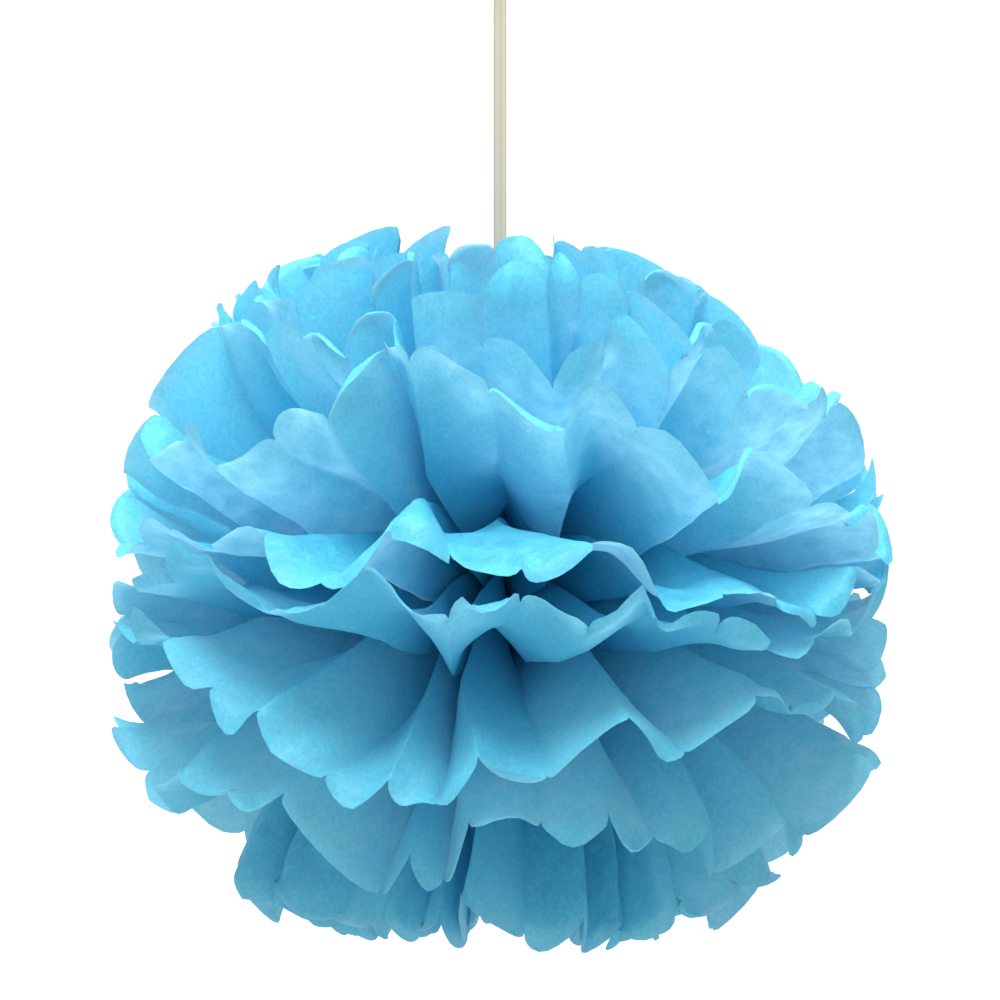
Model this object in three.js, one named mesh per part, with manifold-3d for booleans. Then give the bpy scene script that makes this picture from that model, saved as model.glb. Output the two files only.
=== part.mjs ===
// A hanging pom pom of pleated tissue paper.
// Ten equal sheets are folded into pleats, tied round the middle with wire, and opened out into a ball.
// Each sheet is one piece: a gathered hub under the wire, and two half circle fans of scalloped panels.
// Five sheets are turned up and five are turned down. A flat ribbon hangs the ball from a loop.
// Millimetres, +Z up, front at -Y. The origin is inside the top of the loop, where a hook bears.
// Azimuths are in degrees, with 0 at the front and 90 at the right hand side.
import * as THREE from "three";
import { mergeVertices } from "three/addons/utils/BufferGeometryUtils.js";
import Module from "manifold-3d";

// The folded sheets
const HALF_LENGTH = 165; // from the tie to either end of a sheet, measured flat
const PANELS = 18; // panels between folds, in each fan
const PANEL_WIDTH = 27; // measured flat, so that a sheet is 486 wide
const SCALLOP_DEPTH = 0.6 * PANEL_WIDTH; // how far the rounded end of a panel is cut back at its creases
const PAPER = 0.6; // thickness of the solid that stands for the paper
const CLEARANCE = 0.3; // between pieces that touch
const LAYER_GAP = 8; // least distance between neighbouring sheets away from the hub

// The tie
const HUB_RADIUS = 5; // half the width of the gathered paper under the wire
const HUB_TAPER = 0.6; // by which each sheet's hub is smaller than that of the next one towards the middle
const WIRE_THICK = 1.2;
const WIRE_BAND = 2.4; // two turns of wire, side by side
const WIRE_SIDES = 16;
const WIRE_ROOM = 1.3; // between the wire and the place where each fan starts to open
const SEAM_GAP = 1.8; // between the straight edges of the two fans, at the rim

// The folds: pairs of panels that open one after another, as there is more room round the tie.
// A pair of an even panel and the next one folds upwards, and the other pairs fold downwards.
const UPPER_ORDER = [8, 8, 0, 0, 4, 4, 8, 8, 0, 0, 4, 4, 8, 8, 0, 0, 4, 4]; // in which the panels open
const LOWER_ORDER = [4, 8, 8, 0, 0, 4, 4, 8, 8, 0, 0, 4, 4, 8, 8, 0, 0, 4];
const LAST_TO_OPEN = 8;
const OPENING_SPAN = 0.65; // share of the whole opening in which one pair opens
const ORDER_CHANGES = 20; // degrees of elevation over which the lower order gives way to the upper one
const LEAST_OPENED = 0.02;
const CLOSED_SHARE = 0.3; // of its open width that a closed panel still takes
const STEEPEST_FOLD = 4; // its height, as a multiple of the width left to it
const FOLD_START = 0.18 * HALF_LENGTH; // from the tie, where the gathered paper starts to open into folds
const FOLD_FULL = 0.5 * HALF_LENGTH; // from the tie, where folds have come to their full height
const FOLD_ROOM = 0.45; // the most that a fold takes of the distance to the ball's upright axis
const FLAT_BAND = 20; // degrees of elevation about the middle, within which the rims have flattened out
const FLAT_BAND_START = 0.45 * HALF_LENGTH; // from the tie
const FLAT_BAND_FULL = 0.75 * HALF_LENGTH; // from the tie
const FLAT_BAND_SHARE = 0.4; // of a fold's height that is left there

// The twist: how far the layers are turned against each other, by their elevation
const TWIST = 1; // degrees
const TWIST_STEP = 4.8; // radians of its wave for each radian of elevation
const TWIST_FULL = 0.5 * HALF_LENGTH; // from the tie

// How far the tips rise and fall round a sheet, in degrees: a flutter from panel to panel, and slow waves
// at the sides and back. The stations below give the waves at the front.
const FLUTTER = 2.5;
const FLUTTER_STEP = 2.5; // radians from one panel to the next
const WAVES = 7;
const WAVE_STEP = 1.05; // radians from one panel to the next
const SHEET_SHIFT = 2.1; // radians from one sheet to the next
const WAVES_START = 50; // azimuth, to both sides of the front, where the waves start
const WAVES_FULL = 80;

// The ribbon
const RIBBON_WIDTH = 5;
const RIBBON_THICK = 0.6;
const KNOT_WIDTH = 7.5;
const KNOT_DEPTH = 4.5;
const KNOT_HEIGHT = 5;
const UPPER_KNOT_Z = 232; // above the tie
const LOOP_HEIGHT = 30;
const LOOP_DEPTH = 13;
const LOOP_SIDES = 20;

// How far along its line a panel has a row of points, from the hub at 0 to the tip at 1.
const ROWS = [0.2, 0.5, 0.78];
const BEND_REACH = 0.8; // where a panel's bend is, as a share of its length
const TIP_POINTS = [0.15, 0.5, 0.85]; // across a panel, the points of its rounded end

// The sheets' shapes, from the top of the stack down. Each station is an azimuth, the elevations of the
// panel's bend and of its tip, and the share of the half length that bends take up, in hundredths.
const SHEETS = [
  ["upper_sheet_1", [
    [-180, 54, 63, 16], [-120, 56, 66, 14], [-60, 53, 62, 13], [-25, 54, 63, 16],
    [0, 52, 60, 18], [20, 54, 63, 17], [60, 52, 60, 17], [120, 54, 64, 17],
  ]],
  ["upper_sheet_2", [
    [-180, 42, 53, 12], [-150, 39, 49, 11], [-120, 43, 55, 12], [-90, 41, 50, 10],
    [-63, 40, 50, 9], [-46, 42, 52, 10], [-33, 44, 55, 11], [-12, 42, 53, 12],
    [-1, 41, 50, 13], [12, 44, 55, 12], [24, 41, 51, 12], [36, 40, 50, 15],
    [60, 36, 45, 16], [90, 37, 47, 17], [120, 42, 53, 15], [150, 40, 51, 12],
  ]],
  ["upper_sheet_3", [
    [-180, 30, 42, 10], [-150, 26, 37, 9], [-120, 31, 45, 10], [-90, 26, 38, 8],
    [-72, 32, 46, 8], [-60, 31, 43, 10], [-40, 28, 40, 11], [-28, 29, 41, 11],
    [-15, 30, 40, 14], [0, 28, 37, 14], [12, 27, 36, 10], [30, 26, 36, 10],
    [48, 22, 32, 9], [62, 18, 26, 8], [90, 18, 27, 9], [120, 26, 38, 10],
    [150, 28, 42, 9],
  ]],
  ["upper_sheet_4", [
    [-180, 14, 24, 9], [-150, 10, 20, 10], [-120, 16, 28, 9], [-90, 8, 14, 8],
    [-64, 10, 20, 9], [-44, 12, 21, 10], [-32, 16, 26, 10], [-24, 22, 35, 10],
    [-9, 26, 37, 10], [0, 24, 31, 10], [8, 20, 27, 9], [14, 20, 28, 9],
    [22, 16, 20, 9], [30, 12, 17, 9], [47, 10, 15, 8], [62, 6, 11, 8],
    [75, 5, 8, 8], [90, 6, 12, 9], [120, 12, 22, 10], [150, 16, 26, 9],
  ]],
  ["upper_sheet_5", [
    [-180, -4, -6, 9], [-150, -6, -10, 8], [-120, -2, 2, 9], [-90, 2, 7, 8],
    [-60, 5, 9, 9], [-44, 6, 6, 10], [-34, 8, 1, 10], [-24, 12, 4, 10],
    [-14, 20, 6, 11], [-7, 24, 2, 12], [3, 17, 2, 11], [14, 8, 6, 10],
    [22, 5, -2, 10], [35, 3, -3, 9], [47, 1, -1, 9], [64, -1, 4, 8],
    [78, 0, 2, 9], [90, 1, 6, 8], [120, -2, 3, 9], [150, -4, -6, 9],
  ]],
  ["lower_sheet_1", [
    [-180, -14, -12, 9], [-150, -14, -18, 10], [-120, -12, -8, 9], [-90, -5, -4, 8],
    [-74, -5, -1, 8], [-51, -7, 1, 9], [-39, -12, -1, 10], [-24, -16, 1, 10],
    [-10, -19, 1, 11], [1, -21, -2, 12], [11, -24, 0, 10], [18, -22, 2, 10],
    [26, -17, -4, 10], [34, -12, -6, 9], [45, -9, -9, 9], [57, -9, -7, 8],
    [75, -9, -5, 9], [90, -7, -4, 9], [120, -12, -9, 10], [150, -14, -14, 9],
  ]],
  ["lower_sheet_2", [
    [-180, -24, -27, 10], [-150, -20, -24, 9], [-120, -24, -30, 10], [-90, -14, -15, 8],
    [-65, -12, -10, 8], [-50, -16, -13, 10], [-41, -20, -19, 10], [-36, -24, -27, 10],
    [-24, -27, -31, 10], [-10, -28, -30, 11], [2, -28, -28, 11], [14, -29, -26, 11],
    [24, -24, -20, 10], [36, -20, -21, 9], [47, -17, -15, 9], [66, -14, -16, 8],
    [90, -15, -18, 6], [120, -22, -26, 9], [150, -28, -32, 10],
  ]],
  ["lower_sheet_3", [
    [-180, -40, -46, 10], [-150, -34, -42, 10], [-120, -38, -45, 7], [-90, -28, -29, 3],
    [-66, -26, -28, 4], [-52, -28, -29, 8], [-40, -34, -38, 10], [-30, -38, -46, 10],
    [-20, -40, -49, 10], [-8, -38, -43, 10], [2, -37, -39, 10], [14, -36, -37, 10],
    [28, -34, -39, 10], [40, -34, -41, 9], [58, -32, -38, 5], [75, -32, -34, 2],
    [90, -30, -33, 2], [120, -36, -42, 7], [150, -40, -47, 10],
  ]],
  ["lower_sheet_4", [
    [-180, -56, -64, 10], [-150, -50, -58, 9], [-120, -54, -64, 8], [-90, -42, -46, 5],
    [-75, -42, -47, 5], [-62, -48, -56, 8], [-50, -52, -62, 9], [-34, -54, -61, 10],
    [-20, -56, -65, 10], [0, -54, -60, 10], [20, -56, -66, 10], [40, -56, -66, 10],
    [60, -50, -60, 7], [78, -44, -52, 5], [90, -42, -48, 4], [120, -50, -60, 8],
    [150, -54, -63, 10],
  ]],
  ["lower_sheet_5", [
    [-180, -56, -64, 12], [-120, -55, -63, 10], [-70, -53, -61, 9], [-30, -55, -63, 12],
    [0, -56, -65, 15], [35, -55, -64, 12], [70, -53, -61, 9], [120, -55, -63, 11],
  ]],
];

// Places worked out from the sizes
const HUB_PITCH = PAPER + CLEARANCE;
const HUBS = SHEETS.map((sheet, i) => {
  const fromMiddle = (SHEETS.length - 1) / 2 - i;
  return { z: fromMiddle * HUB_PITCH, radius: HUB_RADIUS - HUB_TAPER * (Math.abs(fromMiddle) - 0.5) };
});
const HUB_HALF_LENGTH = WIRE_BAND / 2 + WIRE_ROOM;
const STACK_CORNERS = HUBS.map((hub) => Math.hypot(hub.radius, Math.abs(hub.z) + PAPER / 2));
const WIRE_INNER_RADIUS = (Math.max(...STACK_CORNERS) + CLEARANCE) / Math.cos(Math.PI / WIRE_SIDES);
const LOWER_KNOT_Z = WIRE_INNER_RADIUS + WIRE_THICK + CLEARANCE + KNOT_HEIGHT / 2;
const LOOP_TOP_Z = UPPER_KNOT_Z + LOOP_HEIGHT;
const DEGREE = Math.PI / 180;
const CREASE_END = endOfPanel(0);

const paper = new THREE.MeshStandardMaterial({ color: 0x4fbde6, roughness: 0.85 });
const wire = new THREE.MeshStandardMaterial({ color: 0x8f9498, roughness: 0.4, metalness: 0.9 });
const ribbon = new THREE.MeshStandardMaterial({ color: 0xd8d2b8, roughness: 0.6 });

// How far along its line a panel ends, at a place across it: a round end between two creases.
function endOfPanel(share) {
  const round = 1 - Math.sqrt(1 - (2 * share - 1) ** 2);
  return 1 - (SCALLOP_DEPTH * round) / HALF_LENGTH;
}

function clamp(value, least, most) {
  return Math.min(most, Math.max(least, value));
}

function azimuthInTurn(azimuth) {
  return ((azimuth + 180) % 360 + 360) % 360 - 180;
}

// The azimuth of a place across a fan, counted in panels. Fan 0 is the front one.
function azimuthOf(fan, across) {
  return -90 + fan * 180 + (across * 180) / PANELS;
}

// How far a tip rises or falls besides.
function riseAt(sheet, azimuth, across) {
  const fromFront = Math.abs(azimuthInTurn(azimuth));
  const side = clamp((fromFront - WAVES_START) / (WAVES_FULL - WAVES_START), 0, 1);
  const shift = sheet * SHEET_SHIFT;
  const waves = side * WAVES * Math.sin(across * WAVE_STEP + shift);
  return waves + FLUTTER * Math.sin(across * FLUTTER_STEP + shift);
}

// A sheet's bend, tip and reach at an azimuth, blended between its stations.
function stationAt(stations, azimuth) {
  const turned = azimuthInTurn(azimuth);
  const next = stations.findIndex((s) => s[0] > turned);
  const closing = [stations[0][0] + 360, ...stations[0].slice(1)];
  const after = next < 0 ? closing : stations[next];
  const before = next < 0 ? stations[stations.length - 1] : stations[next - 1];
  const share = (turned - before[0]) / (after[0] - before[0]);
  const eased = (1 - Math.cos(Math.PI * share)) / 2;
  const [bend, tip, shortfall] = [1, 2, 3].map((k) => before[k] + (after[k] - before[k]) * eased);
  return { bend, tip, reach: HALF_LENGTH * (1 - shortfall / 100) };
}

// What the folds do at a place: how far round they bring it, in degrees, and how far they lift it.
function foldsAt(across, radius, elevation) {
  const flat = radius * Math.cos(elevation);
  const opened = clamp((Math.PI * flat) / (PANELS * PANEL_WIDTH), LEAST_OPENED, 1);
  const upper = clamp(0.5 + elevation / DEGREE / (2 * ORDER_CHANGES), 0, 1);
  const shares = UPPER_ORDER.map((order, i) => {
    const late = (upper * order + (1 - upper) * LOWER_ORDER[i]) / LAST_TO_OPEN;
    return clamp((opened - (1 - OPENING_SPAN) * late) / OPENING_SPAN, CLOSED_SHARE, 1);
  });
  const mean = shares.reduce((sum, share) => sum + share) / PANELS;
  const begun = clamp((radius - FOLD_START) / (FOLD_FULL - FOLD_START), 0, 1);
  const rim = clamp((radius - FLAT_BAND_START) / (FLAT_BAND_FULL - FLAT_BAND_START), 0, 1);
  const pole = clamp(Math.abs(elevation / DEGREE) / FLAT_BAND, 0, 1) ** 2;
  const flattened = 1 - (1 - FLAT_BAND_SHARE) * (1 - pole) * rim;
  const around = [0];
  const lift = [0];
  shares.forEach((share, i) => {
    const width = PANEL_WIDTH * Math.min(1, (opened * share) / mean);
    const height = Math.min(Math.sqrt(PANEL_WIDTH ** 2 - width ** 2), STEEPEST_FOLD * width);
    const reached = flattened * Math.min(height * begun, FOLD_ROOM * flat);
    around.push(around[i] + begun * width + (1 - begun) * PANEL_WIDTH * opened);
    lift.push(lift[i] + (i % 2 === 0 ? reached : -reached));
  });
  const panel = Math.min(Math.floor(across), PANELS - 1);
  const at = (creases) => creases[panel] + (across - panel) * (creases[panel + 1] - creases[panel]);
  const middle = lift.reduce((sum, height) => sum + height) / lift.length;
  return { degrees: (180 * at(around)) / around[PANELS], lift: at(lift) - middle };
}

// A point of a sheet's line in the upright plane of its azimuth.
function linePoint(hub, { bend, tip, reach }, along) {
  const bendReach = BEND_REACH * reach;
  const bendAt = [bendReach * Math.cos(bend * DEGREE), bendReach * Math.sin(bend * DEGREE)];
  const tipAt = [reach * Math.cos(tip * DEGREE), reach * Math.sin(tip * DEGREE)];
  const hubAt = [hub.radius, hub.z];
  const back = 1 - along;
  const [r, z] = hubAt.map((h, k) => back * back * h + 2 * back * along * bendAt[k] + along * along * tipAt[k]);
  return { radius: Math.hypot(r, z), elevation: Math.atan2(z, r) };
}

function elevationAt(line, radius) {
  const k = line.findIndex((p) => p.radius >= radius);
  if (k < 0) return line[line.length - 1].elevation;
  if (k === 0) return line[0].elevation;
  const [a, b] = [line[k - 1], line[k]];
  return a.elevation + ((b.elevation - a.elevation) * (radius - a.radius)) / (b.radius - a.radius);
}

// Moves a line up (or down) where it comes too near its neighbour.
function pushAway(line, neighbour, up) {
  for (const point of line) {
    const limit = elevationAt(neighbour, point.radius) + (up * LAYER_GAP) / point.radius;
    if (up * (point.elevation - limit) < 0) point.elevation = limit;
  }
}

// All sheets' lines at one place across a fan, kept apart from each other.
// Each line is a list of points, given by their distance from the tie and their elevation in radians.
function linesAt(fan, across, alongs) {
  const azimuth = azimuthOf(fan, across);
  const firstLower = SHEETS.length / 2;
  const lines = SHEETS.map(([, stations], i) => {
    const station = stationAt(stations, azimuth);
    const rise = riseAt(i, azimuth, across);
    const shape = { ...station, bend: station.bend + rise / 3, tip: station.tip + rise };
    return alongs.map((along) => linePoint(HUBS[i], shape, along));
  });
  for (let i = firstLower - 2; i >= 0; i--) pushAway(lines[i], lines[i + 1], 1);
  for (let i = firstLower; i < SHEETS.length; i++) pushAway(lines[i], lines[i - 1], -1);
  return lines;
}

// The place of a point in the ball, from where it is across its fan and on its line.
function place(fan, across, { radius, elevation }, along) {
  const share = Math.min(1, radius / TWIST_FULL);
  const turn = share * TWIST * Math.sin(TWIST_STEP * elevation + 1);
  const folds = foldsAt(across, radius, elevation);
  const azimuth = (azimuthOf(fan, 0) + folds.degrees + turn) * DEGREE;
  const lifted = elevation + folds.lift / radius;
  const flat = radius * Math.cos(lifted);
  const seam = HUB_HALF_LENGTH + (SEAM_GAP / 2 - HUB_HALF_LENGTH) * along;
  return new THREE.Vector3(
    flat * Math.sin(azimuth),
    -flat * Math.cos(azimuth) + (fan === 0 ? -seam : seam),
    radius * Math.sin(lifted),
  );
}

// Every sheet's surface, as points and triangles, without thickness.
function sheetSurfaces() {
  const surfaces = SHEETS.map(() => ({ points: [], triangles: [], hub: [] }));
  for (const fan of [0, 1]) {
    const starts = surfaces.map(() => []);
    for (let crease = 0; crease <= PANELS; crease++) addCrease(surfaces, starts, fan, crease);
    for (let panel = 0; panel < PANELS; panel++) addPanel(surfaces, starts, fan, panel);
  }
  surfaces.forEach(addHub);
  return surfaces;
}

// The points of one crease of every sheet, from the hub to the rim.
function addCrease(surfaces, starts, fan, crease) {
  const alongs = [...ROWS, CREASE_END];
  const lines = linesAt(fan, crease, alongs);
  const angle = azimuthOf(fan, crease) * DEGREE;
  const middle = fan === 0 ? -HUB_HALF_LENGTH : HUB_HALF_LENGTH;
  surfaces.forEach(({ points, hub }, i) => {
    const { radius, z } = HUBS[i];
    starts[i].push(points.length);
    hub.push(points.length);
    points.push(new THREE.Vector3(radius * Math.sin(angle), middle - radius * Math.cos(angle), z));
    alongs.forEach((along, k) => points.push(place(fan, crease, lines[i][k], along)));
  });
}

// The faces of one panel of every sheet, with the points of its rounded end.
function addPanel(surfaces, starts, fan, panel) {
  const last = ROWS.length; // from a crease's first point to its last row before the rim
  const tips = TIP_POINTS.map((share) => {
    const end = endOfPanel(share);
    return { across: panel + share, end, lines: linesAt(fan, panel + share, [...ROWS, end]) };
  });
  surfaces.forEach(({ points, triangles }, i) => {
    const [left, right] = [starts[i][panel], starts[i][panel + 1]];
    for (let k = 0; k < last; k++) {
      triangles.push([left + k, left + k + 1, right + k], [right + k, left + k + 1, right + k + 1]);
    }
    const firstTip = points.length;
    tips.forEach(({ across, end, lines }) => points.push(place(fan, across, lines[i][last], end)));
    const edge = [left + last + 1, ...tips.map((tip, k) => firstTip + k), right + last + 1];
    const middle = Math.floor(edge.length / 2);
    edge.slice(1).forEach((to, k) => {
      triangles.push([k < middle ? left + last : right + last, edge[k], to]);
    });
    triangles.push([left + last, edge[middle], right + last]);
  });
}

// The gathered hub: a flat patch inside the starts of both fans.
function addHub({ points, triangles, hub }, i) {
  const centre = points.length;
  points.push(new THREE.Vector3(0, 0, HUBS[i].z));
  hub.forEach((point, k) => triangles.push([point, hub[(k + 1) % hub.length], centre]));
}

// Gives a surface its thickness: a closed solid with half the paper on each side.
function thicken({ points, triangles }) {
  const normals = points.map(() => new THREE.Vector3());
  for (const [a, b, c] of triangles) {
    const ab = points[b].clone().sub(points[a]);
    const face = ab.cross(points[c].clone().sub(points[a]));
    for (const corner of [a, b, c]) normals[corner].add(face);
  }
  const offsets = normals.map((normal) => normal.setLength(PAPER / 2));
  const above = points.map((point, i) => point.clone().add(offsets[i]));
  const below = points.map((point, i) => point.clone().sub(offsets[i]));
  const count = points.length;
  const index = [];
  const rim = new Map();
  for (const [a, b, c] of triangles) {
    index.push(a, b, c, count + a, count + c, count + b);
    for (const [from, to] of [[a, b], [b, c], [c, a]]) {
      if (!rim.delete(`${to} ${from}`)) rim.set(`${from} ${to}`, [from, to]);
    }
  }
  for (const [from, to] of rim.values()) {
    index.push(from, count + from, to, to, count + from, count + to);
  }
  return new THREE.BufferGeometry().setFromPoints([...above, ...below]).setIndex(index);
}

// The wire: a band of two turns round the stack of hubs, in the upright plane between the fans.
function wireBand() {
  const circle = (radius) => {
    return new THREE.Path().absarc(0, 0, radius, 0, 2 * Math.PI).getPoints(WIRE_SIDES).slice(1);
  };
  const shape = new THREE.Shape(circle(WIRE_INNER_RADIUS + WIRE_THICK));
  shape.holes.push(new THREE.Path(circle(WIRE_INNER_RADIUS)));
  const band = new THREE.ExtrudeGeometry(shape, { depth: WIRE_BAND, bevelEnabled: false });
  return band.rotateX(Math.PI / 2).translate(0, WIRE_BAND / 2, 0);
}

// A soft knot: a stretched ball.
function knot(z) {
  return new THREE.SphereGeometry(0.5, 10, 8).scale(KNOT_WIDTH, KNOT_DEPTH, KNOT_HEIGHT).translate(0, 0, z);
}

// The loop: a turn of ribbon above the upper knot, oval when seen from the side.
function loop() {
  const oval = (grown) => {
    const path = new THREE.Path();
    path.absellipse(0, LOOP_HEIGHT / 2, LOOP_DEPTH / 2 + grown, LOOP_HEIGHT / 2 + grown, 0, 2 * Math.PI);
    return path.getPoints(LOOP_SIDES).slice(1);
  };
  const shape = new THREE.Shape(oval(RIBBON_THICK));
  shape.holes.push(new THREE.Path(oval(0)));
  const turn = new THREE.ExtrudeGeometry(shape, { depth: RIBBON_WIDTH, bevelEnabled: false });
  // The outline's first axis lies along Y, its second along Z, and the width along X.
  return turn.translate(0, 0, -RIBBON_WIDTH / 2).rotateX(Math.PI / 2).rotateZ(Math.PI / 2)
    .translate(0, 0, UPPER_KNOT_Z);
}

const wasm = await Module();
wasm.setup();

function toSolid(geometry) {
  const bare = geometry.clone().deleteAttribute("normal").deleteAttribute("uv");
  const merged = mergeVertices(bare, 1e-4);
  const vertProperties = merged.attributes.position.array;
  const triVerts = new Uint32Array(merged.index.array);
  return new wasm.Manifold(new wasm.Mesh({ numProp: 3, vertProperties, triVerts }));
}

function toGeometry(solid) {
  const { vertProperties, triVerts } = solid.getMesh();
  const geometry = new THREE.BufferGeometry();
  geometry.setAttribute("position", new THREE.BufferAttribute(new Float32Array(vertProperties), 3));
  return geometry.setIndex(new THREE.BufferAttribute(new Uint32Array(triVerts), 1));
}

// The ribbon: tied to the wire, straight up to a knot, and round in a hanging loop. It is one piece.
function hangingRibbon() {
  const length = UPPER_KNOT_Z - LOWER_KNOT_Z;
  const strap = new THREE.BoxGeometry(RIBBON_WIDTH, RIBBON_THICK, length);
  strap.translate(0, 0, LOWER_KNOT_Z + length / 2);
  const pieces = [strap, knot(LOWER_KNOT_Z), knot(UPPER_KNOT_Z), loop()].map(toSolid);
  return toGeometry(pieces.reduce((all, piece) => all.add(piece)));
}

function named(name, geometry, material) {
  const mesh = new THREE.Mesh(geometry, material);
  mesh.name = name;
  return mesh;
}

const pomPom = new THREE.Group();
pomPom.position.z = -LOOP_TOP_Z;
sheetSurfaces().forEach((surface, i) => pomPom.add(named(SHEETS[i][0], thicken(surface), paper)));
pomPom.add(named("tie_wire", wireBand(), wire));
pomPom.add(named("hanging_ribbon", hangingRibbon(), ribbon));

export default pomPom;
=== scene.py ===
# A tissue paper pom pom on its ribbon: the looks of every piece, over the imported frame. Metres, +Z up, front at -Y.
import math

import bmesh
import bpy
import numpy as np
from mathutils import Matrix, Vector


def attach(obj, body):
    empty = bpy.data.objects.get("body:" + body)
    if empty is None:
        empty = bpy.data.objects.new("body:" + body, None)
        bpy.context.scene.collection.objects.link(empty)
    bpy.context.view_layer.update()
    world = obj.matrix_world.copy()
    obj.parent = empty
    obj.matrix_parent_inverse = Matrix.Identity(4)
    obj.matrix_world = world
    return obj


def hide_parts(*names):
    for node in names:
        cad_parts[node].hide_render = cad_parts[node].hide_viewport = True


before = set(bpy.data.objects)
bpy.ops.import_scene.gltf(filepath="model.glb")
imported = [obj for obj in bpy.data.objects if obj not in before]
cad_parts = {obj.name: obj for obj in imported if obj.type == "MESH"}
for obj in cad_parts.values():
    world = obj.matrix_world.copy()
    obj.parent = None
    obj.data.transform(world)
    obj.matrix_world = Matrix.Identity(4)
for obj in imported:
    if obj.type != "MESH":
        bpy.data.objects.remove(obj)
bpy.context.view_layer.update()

MM = 0.001

# The folded sheets, laid out as the part's source has them but folded deeper. Millimetres, degrees and shares.
HALF_LENGTH = 165
SHEET_WIDTH = 486
PANELS = 18
PANEL_WIDTH = SHEET_WIDTH / PANELS
# The order in which the 18 panels of a fan open as they leave the tie, from 0 for the first to 8 for the last
UPPER_ORDER = (8, 8, 0, 0, 4, 4, 8, 8, 0, 0, 4, 4, 8, 8, 0, 0, 4, 4)
LOWER_ORDER = (4, 8, 8, 0, 0, 4, 4, 8, 8, 0, 0, 4, 4, 8, 8, 0, 0, 4)
LAST_TO_OPEN = 8
ORDER_CHANGES = 20  # the elevation over which one order passes into the other, up and down
OPENING_SPAN = 0.6  # share of the whole opening that one panel's takes
LEAST_OPENED = 0.02
WIDEST_PANEL = 1.1  # share of a panel's width
SCALLOP_DEPTH = 16
SCALLOP_ROUNDNESS = 1.8
LAYER_GAP = 8
PAPER = 0.6
CLEARANCE = 0.3
HUB_RADIUS = 5
HUB_TAPER = 0.6
HUB_HALF_LENGTH = 2.5
SEAM_GAP = 0.4
LATEST_SHARE = 0.2  # width left to a panel that has not opened
STEEPEST_FOLD = 9  # a fold's height against its width
FOLD_START = 22  # radius by which the folds have their full depth
FOLD_ROOM = 1.3  # a fold's greatest height against its distance from the axis

# Where the folds are shallower: in a level band at the ball's waist, and near its poles
FLAT_BAND = 26
FLAT_BAND_FROM = 75
FLAT_BAND_TO = 125
FLAT_BAND_DEPTH = 0.3
CROWN_FROM = 38
CROWN_TO = 52
CROWN_DEPTH = 0.8

# How the paper wanders: turned round the axis, fluttering along its rims and waving at the sides
TWIST = 2
TWIST_STEP = 4.8
TWIST_SHIFT = 1
WARP_RADIUS = 80
SWIRL = 5  # at half the way out
FLUTTER = 2.5
FLUTTER_STEP = 2.5
WAVES = 7
WAVE_STEP = 1.05
WAVES_START = 50
WAVES_FULL = 80
SHEET_SHIFT = 2.1
BEND_REACH = 0.8  # how far out the bend lies
BEND_RISE = 1 / 3  # share of the rim's rise that the bend has

# How finely the paper is drawn
COLUMNS = 10  # for each panel
ROWS = 44  # from the hub to the rim
COLUMNS_AT_CREASES = 1 / 9  # how much closer the columns stand at the creases
ROWS_AT_RIM = 0.6  # how much closer the rows stand at the rim

# What handling has done to the paper, in millimetres and degrees
SEED = 5
FREE_END = 1.6 * SCALLOP_DEPTH / HALF_LENGTH  # share of the half length that curls
PETAL_CURL = 3
PETAL_TILT = 2
RIM_ROLL = 2.4
RIM_ROLLED = 0.05  # share of the half length
ROLL_CHANCE = (-0.8, 1.2)  # a petal's roll is a draw from this range, held between 0 and 1
CRUMPLE = 0.9
CRUMPLE_RADIUS = 20  # least radius that a dent's height is taken at
DENTS = ((1.0, 2.1, 7), (0.7, 4.7, 13), (0.5, 9.3, 21))  # height, and steps across and along the panels
ROW_BEND, ROW_STEP = 1.5, 0.6  # how the lines of dents wander
COLUMN_BEND, COLUMN_STEP = 1.3, 0.7

# The ribbon, in millimetres above the tie
TIE_Z = -262
RIBBON_WIDTH = 5
RIBBON_THICK = 0.4
LOWER_KNOT_Z = 9.5
KNOT_SIZE = (7.5, 4.5, 5)
KNOT_TURNS = ((0.45, 1), (-0.45, 0.92))  # tilt in radians and size of each turn
KNOT_TURN_HEIGHT = 0.62  # share of the knot's height
UPPER_KNOT_Z = 232
LOOP_HEIGHT = 30
LOOP_DEPTH = 13
LOOP_POINTS = 27
LOOP_OPENING = 0.15  # radians from the knot where the loop's turn starts and ends

# The photograph's view, 1000 pixels wide
CAMERA_DISTANCE = 1600
MM_PER_PIXEL = 0.385
TIE_PIXEL_Y = 581
PICTURE = 1000
SENSOR = 36
CLIP_END = 20  # metres

# The tissue's colours, and its grain, patches, dents and creases as steps for each metre
DARK_TISSUE = (0.07, 0.57, 0.79, 1)
PALE_TISSUE = (0.15, 0.70, 0.87, 1)
LIGHT_THROUGH = (0.40, 0.76, 0.91, 1)
GRAIN_STEPS = 700
PATCH_STEPS = 140
LEAST_THROUGH, MOST_THROUGH = 0.28, 0.5
DENT_STEPS = 90
CREASES = ((34, 0.08, 0.3), (95, 0.12, 0.12))  # steps, width and depth
BUMP_STRENGTH, BUMP_DEPTH = 0.35, 0.002

# The ribbon's colours from its left edge to its right one, and its threads as steps for each metre
RIBBON_BANDS = ((0, (0.42, 0.42, 0.32, 1)), (0.3, (0.55, 0.53, 0.41, 1)), (0.55, (0.49, 0.46, 0.36, 1)),
                (0.8, (0.60, 0.54, 0.41, 1)), (1, (0.48, 0.43, 0.33, 1)))
THREAD_STEPS = 600
THREAD_BUMP, THREAD_DEPTH = 0.2, 0.0002

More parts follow.
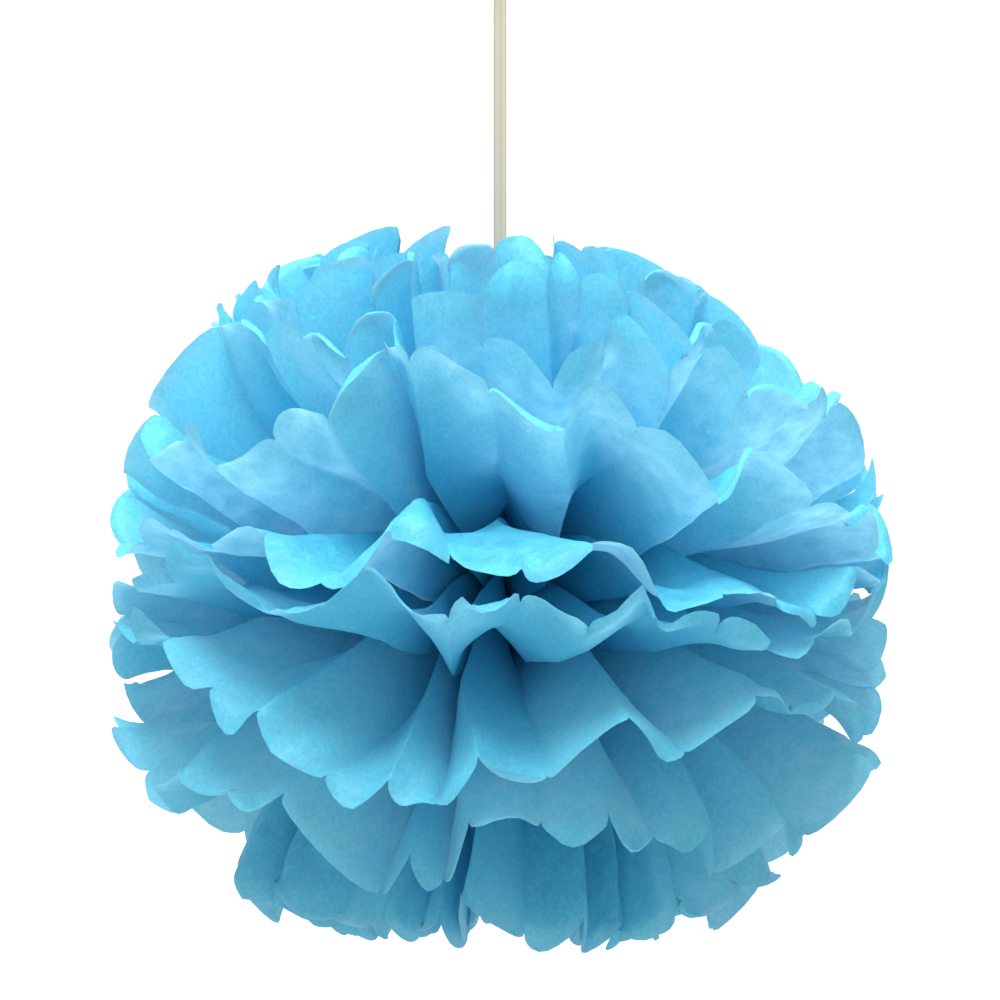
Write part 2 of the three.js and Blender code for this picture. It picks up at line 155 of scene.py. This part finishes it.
# The stage: a floor that turns up into a wall and glows a little where it is far from the lights. Metres.
FLOOR_Z = -3.2
FLOOR_FRONT_Y = -12
WALL_Y = 4.6
WALL_TOP_Z = 5
HALF_WIDTH = 10
CORNER_RADIUS = 1.2
CORNER_STEPS = 12
GLOW_HEIGHT = 1.8
FLOOR_GLOW, WALL_GLOW = 0.08, 0.5
LIGHTS = (("key", (-0.4, -1.0, 1.3), 0.8, 32), ("top", (0.1, 0.0, 1.4), 1.2, 30))  # place, size and watts
WORLD_STRENGTH = 0.6

# Each station is an azimuth, the elevations of the panel's bend and of its tip, and the share of the half length
# that bends take up, in hundredths.
SHEETS = [
  ["upper_sheet_1", [
    [-180, 54, 63, 16], [-120, 56, 66, 14], [-60, 53, 62, 13], [-25, 54, 62, 17],
    [0, 55, 65, 13], [20, 55, 64, 15], [60, 52, 60, 17], [120, 54, 64, 17],
  ]],
  ["upper_sheet_2", [
    [-180, 42, 53, 12], [-150, 39, 49, 11], [-120, 43, 55, 12], [-90, 41, 50, 10],
    [-63, 40, 50, 9], [-46, 42, 52, 10], [-33, 44, 55, 11], [-12, 42, 53, 12],
    [-1, 41, 50, 13], [12, 44, 55, 12], [24, 41, 51, 12], [36, 40, 50, 15],
    [60, 36, 45, 16], [90, 37, 47, 17], [120, 42, 53, 15], [150, 40, 51, 12],
  ]],
  ["upper_sheet_3", [
    [-180, 30, 42, 10], [-150, 26, 37, 9], [-120, 31, 45, 10], [-90, 26, 38, 8],
    [-72, 32, 46, 8], [-60, 31, 43, 10], [-40, 28, 40, 11], [-28, 29, 41, 11],
    [-15, 30, 40, 14], [0, 28, 37, 14], [12, 27, 36, 10], [30, 26, 36, 10],
    [48, 22, 32, 9], [62, 18, 26, 8], [90, 18, 27, 9], [120, 26, 38, 10],
    [150, 28, 42, 9],
  ]],
  ["upper_sheet_4", [
    [-180, 14, 24, 9], [-150, 10, 20, 10], [-120, 16, 28, 9], [-90, 8, 14, 8],
    [-64, 10, 20, 9], [-44, 12, 21, 10], [-32, 16, 26, 10], [-24, 22, 35, 10],
    [-9, 26, 37, 10], [0, 24, 31, 10], [8, 20, 27, 9], [14, 20, 28, 9],
    [22, 16, 20, 9], [30, 12, 17, 9], [47, 10, 15, 8], [62, 6, 11, 8],
    [75, 5, 8, 8], [90, 6, 12, 9], [120, 12, 22, 10], [150, 16, 26, 9],
  ]],
  ["upper_sheet_5", [
    [-180, -4, -6, 9], [-150, -6, -10, 8], [-120, -2, 2, 9], [-90, 2, 7, 8],
    [-60, 5, 9, 9], [-44, 6, 6, 10], [-34, 8, 1, 10], [-24, 12, 4, 10],
    [-14, 20, 6, 11], [-7, 24, 2, 12], [3, 17, 2, 11], [14, 8, 6, 10],
    [22, 5, -2, 10], [35, 3, -3, 9], [47, 1, -1, 9], [64, -1, 4, 8],
    [78, 0, 2, 9], [90, 1, 6, 8], [120, -2, 3, 9], [150, -4, -6, 9],
  ]],
  ["lower_sheet_1", [
    [-180, -14, -12, 9], [-150, -14, -18, 10], [-120, -12, -8, 9], [-90, -5, -4, 8],
    [-74, -5, -1, 8], [-51, -7, 1, 9], [-39, -12, -1, 10], [-24, -16, 1, 10],
    [-10, -19, 1, 11], [1, -21, -2, 12], [11, -24, 0, 10], [18, -22, 2, 10],
    [26, -17, -4, 10], [34, -12, -6, 9], [45, -9, -9, 9], [57, -9, -7, 8],
    [75, -9, -5, 9], [90, -7, -4, 9], [120, -12, -9, 10], [150, -14, -14, 9],
  ]],
  ["lower_sheet_2", [
    [-180, -24, -27, 10], [-150, -20, -24, 9], [-120, -24, -30, 10], [-90, -14, -15, 8],
    [-65, -12, -10, 8], [-50, -16, -13, 10], [-41, -20, -19, 10], [-36, -24, -27, 10],
    [-24, -27, -31, 10], [-10, -28, -30, 11], [2, -28, -28, 11], [14, -29, -26, 11],
    [24, -24, -20, 10], [36, -20, -21, 9], [47, -17, -15, 9], [66, -14, -16, 8],
    [90, -15, -18, 6], [120, -22, -26, 9], [150, -28, -32, 10],
  ]],
  ["lower_sheet_3", [
    [-180, -40, -46, 10], [-150, -34, -42, 10], [-120, -38, -45, 7], [-90, -28, -29, 3],
    [-66, -26, -28, 4], [-52, -28, -29, 8], [-40, -34, -38, 10], [-30, -38, -46, 10],
    [-20, -40, -49, 10], [-8, -38, -43, 10], [2, -37, -39, 10], [14, -36, -37, 10],
    [28, -34, -39, 10], [40, -34, -41, 9], [58, -32, -38, 5], [75, -32, -34, 2],
    [90, -30, -33, 2], [120, -36, -42, 7], [150, -40, -47, 10],
  ]],
  ["lower_sheet_4", [
    [-180, -56, -64, 10], [-150, -50, -58, 9], [-120, -54, -64, 8], [-90, -42, -46, 5],
    [-75, -42, -47, 5], [-62, -48, -56, 8], [-50, -52, -62, 9], [-34, -54, -61, 10],
    [-20, -56, -65, 10], [0, -54, -60, 10], [20, -56, -66, 10], [40, -56, -66, 10],
    [60, -50, -60, 7], [78, -44, -52, 5], [90, -42, -48, 4], [120, -50, -60, 8],
    [150, -54, -63, 10],
  ]],
  ["lower_sheet_5", [
    [-180, -56, -64, 12], [-120, -55, -63, 10], [-70, -53, -61, 9], [-30, -55, -63, 12],
    [0, -56, -65, 15], [35, -55, -64, 12], [70, -53, -61, 9], [120, -55, -63, 11],
  ]],
]
FIRST_LOWER = len(SHEETS) // 2


# Camera

def add_camera():
    camera = bpy.data.objects.new("camera", bpy.data.cameras.new("camera"))
    bpy.context.collection.objects.link(camera)
    above_tie = (TIE_PIXEL_Y - PICTURE / 2) * MM_PER_PIXEL
    camera.location = (0, -CAMERA_DISTANCE * MM, (TIE_Z + above_tie) * MM)
    camera.rotation_euler = (math.pi / 2, 0, 0)
    camera.data.sensor_width = SENSOR
    camera.data.lens = SENSOR * CAMERA_DISTANCE / (PICTURE * MM_PER_PIXEL)
    camera.data.clip_end = CLIP_END
    bpy.context.scene.camera = camera


# Materials

def new_material(name):
    material = bpy.data.materials.new(name)
    material.use_nodes = True
    nodes = material.node_tree.nodes
    return material, nodes, material.node_tree.links, nodes["Principled BSDF"]


def tissue_material():
    """Thin paper that lets light through in patches, with a fine grain, dents and sharp creases."""
    material, nodes, links, paper = new_material("tissue")
    paper.inputs["Roughness"].default_value = 0.55
    paper.inputs["Specular IOR Level"].default_value = 0.5
    coords = nodes.new("ShaderNodeTexCoord")

    def noise(scale, detail):
        texture = nodes.new("ShaderNodeTexNoise")
        texture.inputs["Scale"].default_value = scale
        texture.inputs["Detail"].default_value = detail
        links.new(coords.outputs["Object"], texture.inputs["Vector"])
        return texture

    def math_node(operation, first, second):
        node = nodes.new("ShaderNodeMath")
        node.operation = operation
        for socket, value in zip(node.inputs, (first, second)):
            if isinstance(value, (int, float)):
                socket.default_value = value
            else:
                links.new(value, socket)
        return node.outputs["Value"]

    def creases(steps, width, depth):
        """Sharp creases, along the lines where a noise passes through its middle value."""
        off_middle = math_node("SUBTRACT", noise(steps, 0).outputs["Fac"], 0.5)
        sharp = nodes.new("ShaderNodeMapRange")
        sharp.inputs["From Max"].default_value = width
        links.new(math_node("ABSOLUTE", off_middle, 0), sharp.inputs["Value"])
        return math_node("MULTIPLY", sharp.outputs["Result"], depth)

    tint = nodes.new("ShaderNodeValToRGB")
    tint.color_ramp.elements[0].position = 0.3
    tint.color_ramp.elements[0].color = DARK_TISSUE
    tint.color_ramp.elements[1].position = 0.7
    tint.color_ramp.elements[1].color = PALE_TISSUE
    links.new(noise(GRAIN_STEPS, 1).outputs["Fac"], tint.inputs["Fac"])
    links.new(tint.outputs["Color"], paper.inputs["Base Color"])
    through = nodes.new("ShaderNodeBsdfTranslucent")
    through.inputs["Color"].default_value = LIGHT_THROUGH

    height = noise(DENT_STEPS, 1).outputs["Fac"]
    for crease in CREASES:
        height = math_node("ADD", height, creases(*crease))
    bump = nodes.new("ShaderNodeBump")
    bump.inputs["Strength"].default_value = BUMP_STRENGTH
    bump.inputs["Distance"].default_value = BUMP_DEPTH
    links.new(height, bump.inputs["Height"])
    links.new(bump.outputs["Normal"], paper.inputs["Normal"])
    links.new(bump.outputs["Normal"], through.inputs["Normal"])

    patches = nodes.new("ShaderNodeMapRange")
    for field, value in (("From Min", 0.3), ("From Max", 0.7), ("To Min", LEAST_THROUGH), ("To Max", MOST_THROUGH)):
        patches.inputs[field].default_value = value
    links.new(noise(PATCH_STEPS, 2).outputs["Fac"], patches.inputs["Value"])
    mix = nodes.new("ShaderNodeMixShader")
    links.new(patches.outputs["Result"], mix.inputs["Fac"])
    links.new(paper.outputs["BSDF"], mix.inputs[1])
    links.new(through.outputs["BSDF"], mix.inputs[2])
    links.new(mix.outputs["Shader"], nodes["Material Output"].inputs["Surface"])
    return material


def ribbon_material():
    """Cream satin, with faint bands along it and fine threads across."""
    material, nodes, links, satin = new_material("ribbon")
    satin.inputs["Roughness"].default_value = 0.5
    satin.inputs["Sheen Weight"].default_value = 0.2
    coords = nodes.new("ShaderNodeTexCoord")
    parts = nodes.new("ShaderNodeSeparateXYZ")
    links.new(coords.outputs["Object"], parts.inputs["Vector"])
    across = nodes.new("ShaderNodeMapRange")
    across.inputs["From Min"].default_value = -RIBBON_WIDTH / 2 * MM
    across.inputs["From Max"].default_value = RIBBON_WIDTH / 2 * MM
    links.new(parts.outputs["X"], across.inputs["Value"])
    bands = nodes.new("ShaderNodeValToRGB")
    for share, _ in RIBBON_BANDS[1:-1]:
        bands.color_ramp.elements.new(share)
    for stop, (_, colour) in zip(bands.color_ramp.elements, RIBBON_BANDS):
        stop.color = colour
    links.new(across.outputs["Result"], bands.inputs["Fac"])
    links.new(bands.outputs["Color"], satin.inputs["Base Color"])
    threads = nodes.new("ShaderNodeTexWave")
    threads.bands_direction = "Z"
    threads.inputs["Scale"].default_value = THREAD_STEPS
    links.new(coords.outputs["Object"], threads.inputs["Vector"])
    bump = nodes.new("ShaderNodeBump")
    bump.inputs["Strength"].default_value = THREAD_BUMP
    bump.inputs["Distance"].default_value = THREAD_DEPTH
    links.new(threads.outputs["Fac"], bump.inputs["Height"])
    links.new(bump.outputs["Normal"], satin.inputs["Normal"])
    return material


def wire_material():
    material, _, _, steel = new_material("wire")
    steel.inputs["Base Color"].default_value = (0.5, 0.51, 0.53, 1)
    steel.inputs["Metallic"].default_value = 1
    steel.inputs["Roughness"].default_value = 0.35
    return material


# The ribbon

def ribbon_route():
    """The ribbon's middle line, as (y, z) above the tie: straight up, and round in the hanging loop."""
    straight = [(0, z) for z in (LOWER_KNOT_Z, 30, 55, 80, 105, 130, 155, 180, 205, UPPER_KNOT_Z)]
    middle = UPPER_KNOT_Z + LOOP_HEIGHT / 2
    out, up = (LOOP_DEPTH + RIBBON_THICK) / 2, (LOOP_HEIGHT + RIBBON_THICK) / 2
    turn = np.linspace(LOOP_OPENING, 2 * math.pi - LOOP_OPENING, LOOP_POINTS)
    return straight + [(out * math.sin(a), middle - up * math.cos(a)) for a in turn]


def add_piece(name, mesh, material, node):
    piece = bpy.data.objects.new(name, mesh)
    bpy.context.collection.objects.link(piece)
    mesh.materials.append(material)
    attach(piece, "root")
    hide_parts(node)
    return piece


def add_ribbon():
    """A flat strap that follows the route, and a knot at each end of its straight run."""
    route = np.array(ribbon_route())
    going = np.gradient(route, axis=0)
    side = np.stack([-going[:, 1], going[:, 0]], axis=1) / np.linalg.norm(going, axis=1)[:, None]
    corners = ((-1, -1), (1, -1), (1, 1), (-1, 1))
    points = [(x * RIBBON_WIDTH / 2 * MM, *((p + face * RIBBON_THICK / 2 * n + (0, TIE_Z)) * MM))
              for p, n in zip(route, side) for x, face in corners]
    faces = [(0, 1, 2, 3), tuple(len(points) - k for k in (1, 2, 3, 4))]
    faces += [(4 * k + c, 4 * k + 4 + c, 4 * k + 4 + (c + 1) % 4, 4 * k + (c + 1) % 4)
              for k in range(len(route) - 1) for c in range(4)]
    mesh = bpy.data.meshes.new("ribbon")
    mesh.from_pydata(points, [], faces)
    material = ribbon_material()
    strap = add_piece("ribbon", mesh, material, "hanging_ribbon")
    heights = (("lower_knot", LOWER_KNOT_Z), ("upper_knot", UPPER_KNOT_Z))
    knots = [add_knot(name, z, material) for name, z in heights]


def add_knot(name, z, material):
    """Two tight turns of ribbon, one over the other."""
    shape = bmesh.new()
    width, depth, height = KNOT_SIZE
    for tilt, size in KNOT_TURNS:
        turn = bmesh.ops.create_uvsphere(shape, u_segments=32, v_segments=16, radius=0.5)["verts"]
        stretch = Vector((width, depth, height * KNOT_TURN_HEIGHT)) * size * MM
        bmesh.ops.scale(shape, vec=stretch, verts=turn)
        bmesh.ops.rotate(shape, cent=(0, 0, 0), matrix=Matrix.Rotation(tilt, 3, "Y"), verts=turn)
    bmesh.ops.translate(shape, vec=(0, 0, (z + TIE_Z) * MM), verts=shape.verts)
    mesh = bpy.data.meshes.new(name)
    shape.to_mesh(mesh)
    shape.free()
    mesh.polygons.foreach_set("use_smooth", [True] * len(mesh.polygons))
    return add_piece(name, mesh, material, "hanging_ribbon")


# The folded sheets. Every array has a row for each column of paper, as it runs from the hub out to the rim.

def station_at(stations, azimuth):
    """The elevations of the bend and of the tip, and the reach in millimetres, eased between a sheet's stations."""
    turned = (azimuth + 180) % 360 - 180
    around = np.array(stations + [[stations[0][0] + 360, *stations[0][1:]]], dtype=float)
    k = np.clip(np.searchsorted(around[:, 0], turned, side="right") - 1, 0, len(around) - 2)
    share = (turned - around[k, 0]) / (around[k + 1, 0] - around[k, 0])
    eased = (1 - np.cos(math.pi * share)) / 2
    bend, tip, shortfall = (around[k, 1:] + (around[k + 1, 1:] - around[k, 1:]) * eased[:, None]).T
    return bend, tip, HALF_LENGTH * (1 - shortfall / 100)


def rise_at(sheet, azimuth, across):
    """How far a sheet's rim flutters up and down, and waves at the sides, in degrees."""
    from_front = np.abs((azimuth + 180) % 360 - 180)
    side = np.clip((from_front - WAVES_START) / (WAVES_FULL - WAVES_START), 0, 1)
    shift = sheet * SHEET_SHIFT
    return side * WAVES * np.sin(across * WAVE_STEP + shift) + FLUTTER * np.sin(across * FLUTTER_STEP + shift)


def folds_at(across, radius, elevation):
    """What the accordion folds do at a place: how far round they bring it, in degrees, and how far they lift it."""
    room = math.pi * radius * np.cos(elevation) / SHEET_WIDTH
    opened = np.clip(room, LEAST_OPENED, 1)[..., None]
    upper = np.clip(0.5 + np.degrees(elevation) / (2 * ORDER_CHANGES), 0, 1)[..., None]
    order = (upper * UPPER_ORDER + (1 - upper) * LOWER_ORDER) / LAST_TO_OPEN
    weight = np.clip((opened - (1 - OPENING_SPAN) * order) / OPENING_SPAN, LATEST_SHARE, 1)
    width = PANEL_WIDTH * np.minimum(opened * weight / weight.mean(axis=-1, keepdims=True), WIDEST_PANEL)
    height = np.minimum(np.sqrt(np.maximum(PANEL_WIDTH ** 2 - width ** 2, 0)), STEEPEST_FOLD * width)
    limit = FOLD_ROOM * radius * np.cos(elevation)
    height = np.minimum(height * np.clip(radius / FOLD_START, 0, 1)[..., None], limit[..., None])
    off_waist = np.abs(np.degrees(elevation))
    waist = 1 - np.clip(off_waist / FLAT_BAND, 0, 1) ** 2
    crown = np.clip((off_waist - CROWN_FROM) / (CROWN_TO - CROWN_FROM), 0, 1)
    outer = np.clip((radius - FLAT_BAND_FROM) / (FLAT_BAND_TO - FLAT_BAND_FROM), 0, 1)
    depth = 1 - ((1 - FLAT_BAND_DEPTH) * waist + (1 - CROWN_DEPTH) * crown) * outer
    rise = depth[..., None] * height * (1 - 2 * (np.arange(PANELS) % 2))
    panel = np.minimum(np.floor(across), PANELS - 1).astype(int)
    share = across - panel
    around, lift = [], []
    for steps, found in ((width, around), (rise, lift)):
        creases = np.concatenate([np.zeros(steps.shape[:-1] + (1,)), np.cumsum(steps, axis=-1)], axis=-1)
        start = np.take_along_axis(creases, panel[..., None], axis=-1)[..., 0]
        step = np.take_along_axis(steps, panel[..., None], axis=-1)[..., 0]
        found += [start + share * step, creases]
    return 180 * around[0] / around[1][..., -1], lift[0] - lift[1].mean(axis=-1)


def end_of_panel(across):
    """The share of the half length at which a panel's round-cut end lies."""
    share = across - np.floor(across)
    cut = SCALLOP_DEPTH * (1 - np.sqrt(np.clip(1 - np.abs(2 * share - 1) ** SCALLOP_ROUNDNESS, 0, 1)))
    return 1 - cut / HALF_LENGTH


def hub_of(sheet):
    """The radius and height at which the wire holds a sheet."""
    from_middle = (len(SHEETS) - 1) / 2 - sheet
    return HUB_RADIUS - HUB_TAPER * (abs(from_middle) - 0.5), from_middle * (PAPER + CLEARANCE)


def sheet_lines(sheet, azimuth, across, along):
    """Distance from the tie and elevation of every point of a sheet's fan, before it meets its neighbours."""
    bend, tip, reach = station_at(SHEETS[sheet][1], azimuth)
    rise = rise_at(sheet, azimuth, across)
    bend = np.radians(bend + rise * BEND_RISE)[:, None]
    tip = np.radians(tip + rise)[:, None]
    reach = reach[:, None]
    hub_radius, hub_z = hub_of(sheet)
    back = 1 - along
    bend_at = BEND_REACH * reach * np.cos(bend), BEND_REACH * reach * np.sin(bend)
    tip_at = reach * np.cos(tip), reach * np.sin(tip)
    at = [back ** 2 * h + 2 * back * along * b + along ** 2 * t
          for h, b, t in zip((hub_radius, hub_z), bend_at, tip_at)]
    return np.hypot(*at), np.arctan2(at[1], at[0])


def push_away(line, neighbour, up):
    """Moves a sheet's elevations up (or down) where they come too near the neighbour's."""
    radius, elevation = line
    for c in range(len(radius)):
        limit = np.interp(radius[c], neighbour[0][c], neighbour[1][c]) + up * LAYER_GAP / radius[c]
        elevation[c] = up * np.maximum(up * elevation[c], up * limit)


def place(fan, across, radius, elevation, along):
    """Folds and turns a fan's paper, by rules that all sheets share so that none of them cross."""
    share = np.clip(radius / WARP_RADIUS, 0, 1)
    turn = share * TWIST * np.sin(TWIST_STEP * elevation + TWIST_SHIFT)
    turn += SWIRL * np.sin(math.pi * radius / HALF_LENGTH)
    around, lift = folds_at(across[:, None] + 0 * radius, radius, elevation)
    azimuth = np.radians(-90 + fan * 180 + around + turn)
    elevation = elevation + lift / np.maximum(radius, 1)
    flat = radius * np.cos(elevation)
    seam = (HUB_HALF_LENGTH + (SEAM_GAP / 2 - HUB_HALF_LENGTH) * along) * (1 if fan else -1)
    return np.stack([flat * np.sin(azimuth), seam - flat * np.cos(azimuth), radius * np.sin(elevation)], axis=-1)


def curl_petals(rng, outward, across, radius, elevation, along):
    """Bends the free round end of every petal by its own curl and tilt, and rolls some of their rims over."""
    petal = np.minimum(np.floor(across), PANELS - 1).astype(int)
    side = 2 * (across - petal) - 1
    curl = rng.uniform(-PETAL_CURL, PETAL_CURL, PANELS)[petal]
    tilt = rng.uniform(-PETAL_TILT, PETAL_TILT, PANELS)[petal] * side
    free = np.clip((along - (1 - FREE_END)) / FREE_END, 0, 1) ** 2
    lift = free * ((1 - side ** 2) * (curl + tilt))[:, None]
    rolled = np.clip(rng.uniform(*ROLL_CHANCE, PANELS), 0, 1)[petal] * (1 - side ** 2 / 2)
    ends = end_of_panel(across)[:, None]
    lift += outward * RIM_ROLL * rolled[:, None] * np.clip((along - ends + RIM_ROLLED) / RIM_ROLLED, 0, 1) ** 2
    return elevation + np.radians(lift)


def crumple(rng, along):
    """Small dents and ridges that handling leaves in a fan's paper, in millimetres."""
    height = np.zeros(along.shape)
    across = np.arange(len(along))[:, None] / COLUMNS
    for size, wide, long in DENTS:
        a, b, c, d = rng.uniform(0, 6.28, 4)
        row = np.sin(across * wide + a + ROW_BEND * np.sin(along * long * ROW_STEP + b))
        column = np.sin(along * long + c + COLUMN_BEND * np.sin(across * wide * COLUMN_STEP + d))
        height += size * row * column
    return height * along


def fan_points(fan):
    """The points of one fan of every sheet, as arrays of columns by rows by three."""
    rng = np.random.default_rng(SEED + fan)
    steps = np.linspace(0, PANELS, PANELS * COLUMNS + 1)
    across = steps - np.sin(2 * math.pi * steps) * COLUMNS_AT_CREASES
    azimuth = -90 + fan * 180 + across * 180 / PANELS
    rows = np.linspace(0, 1, ROWS)
    along = (rows * (1 + ROWS_AT_RIM * (1 - rows)))[None, :] * end_of_panel(across)[:, None]
    lines = [sheet_lines(i, azimuth, across, along) for i in range(len(SHEETS))]
    for i in range(FIRST_LOWER - 2, -1, -1):
        push_away(lines[i], lines[i + 1], 1)
    for i in range(FIRST_LOWER, len(SHEETS)):
        push_away(lines[i], lines[i - 1], -1)
    fans = []
    for i, (radius, elevation) in enumerate(lines):
        outward = -1 if i < FIRST_LOWER else 1
        elevation = curl_petals(rng, outward, across, radius, elevation, along)
        elevation = elevation + CRUMPLE * crumple(rng, along) / np.maximum(radius, CRUMPLE_RADIUS)
        fans.append(place(fan, across, radius, elevation, along))
    return fans


def add_sheet(name, hub_z, fans, material):
    """One sheet: two fans and the hub between them, as one open surface."""
    points = [Vector(p) * MM + Vector((0, 0, TIE_Z * MM)) for fan in fans for p in fan.reshape(-1, 3)]
    columns = PANELS * COLUMNS + 1
    faces, hub = [], []
    for first in (0, columns * ROWS):
        hub += [first + c * ROWS for c in range(columns)]
        for c in range(columns - 1):
            for r in range(ROWS - 1):
                a = first + c * ROWS + r
                faces.append((a, a + 1, a + ROWS + 1, a + ROWS))
    centre = len(points)
    points.append(Vector((0, 0, (TIE_Z + hub_z) * MM)))
    faces += [(a, b, centre) for a, b in zip(hub, hub[1:] + hub[:1])]
    mesh = bpy.data.meshes.new(name + "_paper")
    mesh.from_pydata(points, [], faces)
    mesh.validate()
    mesh.polygons.foreach_set("use_smooth", [True] * len(mesh.polygons))
    sheet = add_piece(name + "_paper", mesh, material, name)


def add_sheets():
    material = tissue_material()
    front = fan_points(0)
    back = fan_points(1)
    for i, (name, _) in enumerate(SHEETS):
        add_sheet(name, hub_of(i)[1], (front[i], back[i]), material)


# The stage

def add_stage():
    """The pale floor, which turns up in a round corner into the wall behind."""
    floor = bpy.data.objects.new("floor", bpy.data.meshes.new("floor"))
    bpy.context.collection.objects.link(floor)
    corner_y = WALL_Y - CORNER_RADIUS
    profile = [(FLOOR_FRONT_Y, FLOOR_Z), (corner_y, FLOOR_Z)]
    for k in range(1, CORNER_STEPS + 1):
        angle = math.pi / 2 * k / CORNER_STEPS
        profile.append((corner_y + CORNER_RADIUS * math.sin(angle), FLOOR_Z + CORNER_RADIUS * (1 - math.cos(angle))))
    profile.append((WALL_Y, WALL_TOP_Z))
    points = [(x, y, z) for y, z in profile for x in (-HALF_WIDTH, HALF_WIDTH)]
    faces = [(2 * k, 2 * k + 1, 2 * k + 3, 2 * k + 2) for k in range(len(profile) - 1)]
    floor.data.from_pydata(points, [], faces)
    material, nodes, links, plain = new_material("floor")
    plain.inputs["Base Color"].default_value = (0.9, 0.9, 0.9, 1)
    plain.inputs["Roughness"].default_value = 0.9
    plain.inputs["Emission Color"].default_value = (1, 1, 1, 1)
    coords = nodes.new("ShaderNodeTexCoord")
    parts = nodes.new("ShaderNodeSeparateXYZ")
    links.new(coords.outputs["Object"], parts.inputs["Vector"])
    glow = nodes.new("ShaderNodeMapRange")
    for field, value in (("From Min", FLOOR_Z), ("From Max", FLOOR_Z + GLOW_HEIGHT),
                         ("To Min", FLOOR_GLOW), ("To Max", WALL_GLOW)):
        glow.inputs[field].default_value = value
    links.new(parts.outputs["Z"], glow.inputs["Value"])
    links.new(glow.outputs["Result"], plain.inputs["Emission Strength"])
    floor.data.materials.append(material)
    floor.data.polygons.foreach_set("use_smooth", [True] * len(faces))


def add_light(name, location, size, energy):
    light = bpy.data.objects.new(name, bpy.data.lights.new(name, "AREA"))
    bpy.context.collection.objects.link(light)
    light.data.size = size
    light.data.energy = energy
    light.location = location
    aim = Vector((0, 0, TIE_Z * MM)) - light.location
    light.rotation_euler = aim.to_track_quat("-Z", "Y").to_euler()


def add_lights():
    for light in LIGHTS:
        add_light(*light)
    world = bpy.data.worlds.new("world")
    bpy.context.scene.world = world
    world.use_nodes = True
    world.node_tree.nodes["Background"].inputs["Color"].default_value = (1, 1, 1, 1)
    world.node_tree.nodes["Background"].inputs["Strength"].default_value = WORLD_STRENGTH


add_camera()
add_ribbon()
add_sheets()
add_stage()
add_lights()
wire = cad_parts["tie_wire"]
wire.data.materials.clear()
wire.data.materials.append(wire_material())
bpy.context.scene.view_settings.view_transform = "Standard"
